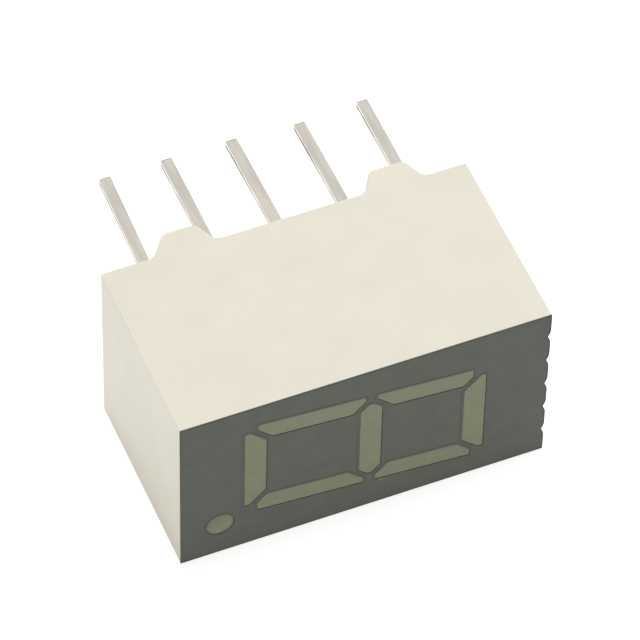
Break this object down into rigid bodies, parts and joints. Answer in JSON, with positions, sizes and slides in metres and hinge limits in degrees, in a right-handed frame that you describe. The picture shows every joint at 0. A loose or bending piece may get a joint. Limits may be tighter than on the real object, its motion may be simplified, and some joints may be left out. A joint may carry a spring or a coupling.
{
  "type": "seven segment display",
  "caption": "Single digit LED display: moulded off-white housing, grey face with slanted mitred bars and a decimal point, notched end, standoffs and flat tinned leads behind.",
  "frame": {"origin": "middle of the overall box in X and Y, on the long side wall that the part lies on", "axes": "+X towards the top of the digit and the notched end, -Y out of the face, +Y along the leads, +Z towards the digit's left side wall"},
  "size_m": [0.0142, 0.0128, 0.0076],
  "materials": {
    "housing": "moulded, fine satin",
    "face_ink": "matt screen printed ink",
    "segment_resin": "cast, diffusing",
    "potting": "cast, self levelled",
    "tinned_lead": "tin plated, stamped",
    "chip": "sawn semiconductor",
    "bond_wire": "drawn gold"
  },
  "bodies": {
    "root": {"housing": "housing", "face_coat": "face_ink", "back_potting": "potting", "decimal_point": "segment_resin", "segment_a": "segment_resin", "segment_b": "segment_resin", "segment_c": "segment_resin", "segment_d": "segment_resin", "segment_e": "segment_resin", "segment_f": "segment_resin", "segment_g": "segment_resin", "lead_common": "tinned_lead", "lead_a": "tinned_lead", "lead_b": "tinned_lead", "lead_c": "tinned_lead", "lead_d": "tinned_lead", "lead_e": "tinned_lead", "lead_f": "tinned_lead", "lead_g": "tinned_lead", "lead_point": "tinned_lead", "chip_a": "chip", "chip_b": "chip", "chip_c": "chip", "chip_d": "chip", "chip_e": "chip", "chip_f": "chip", "chip_g": "chip", "chip_point": "chip", "wire_a": "bond_wire", "wire_b": "bond_wire", "wire_c": "bond_wire", "wire_d": "bond_wire", "wire_e": "bond_wire", "wire_f": "bond_wire", "wire_g": "bond_wire", "wire_point": "bond_wire"}
  },
  "joints": []
}
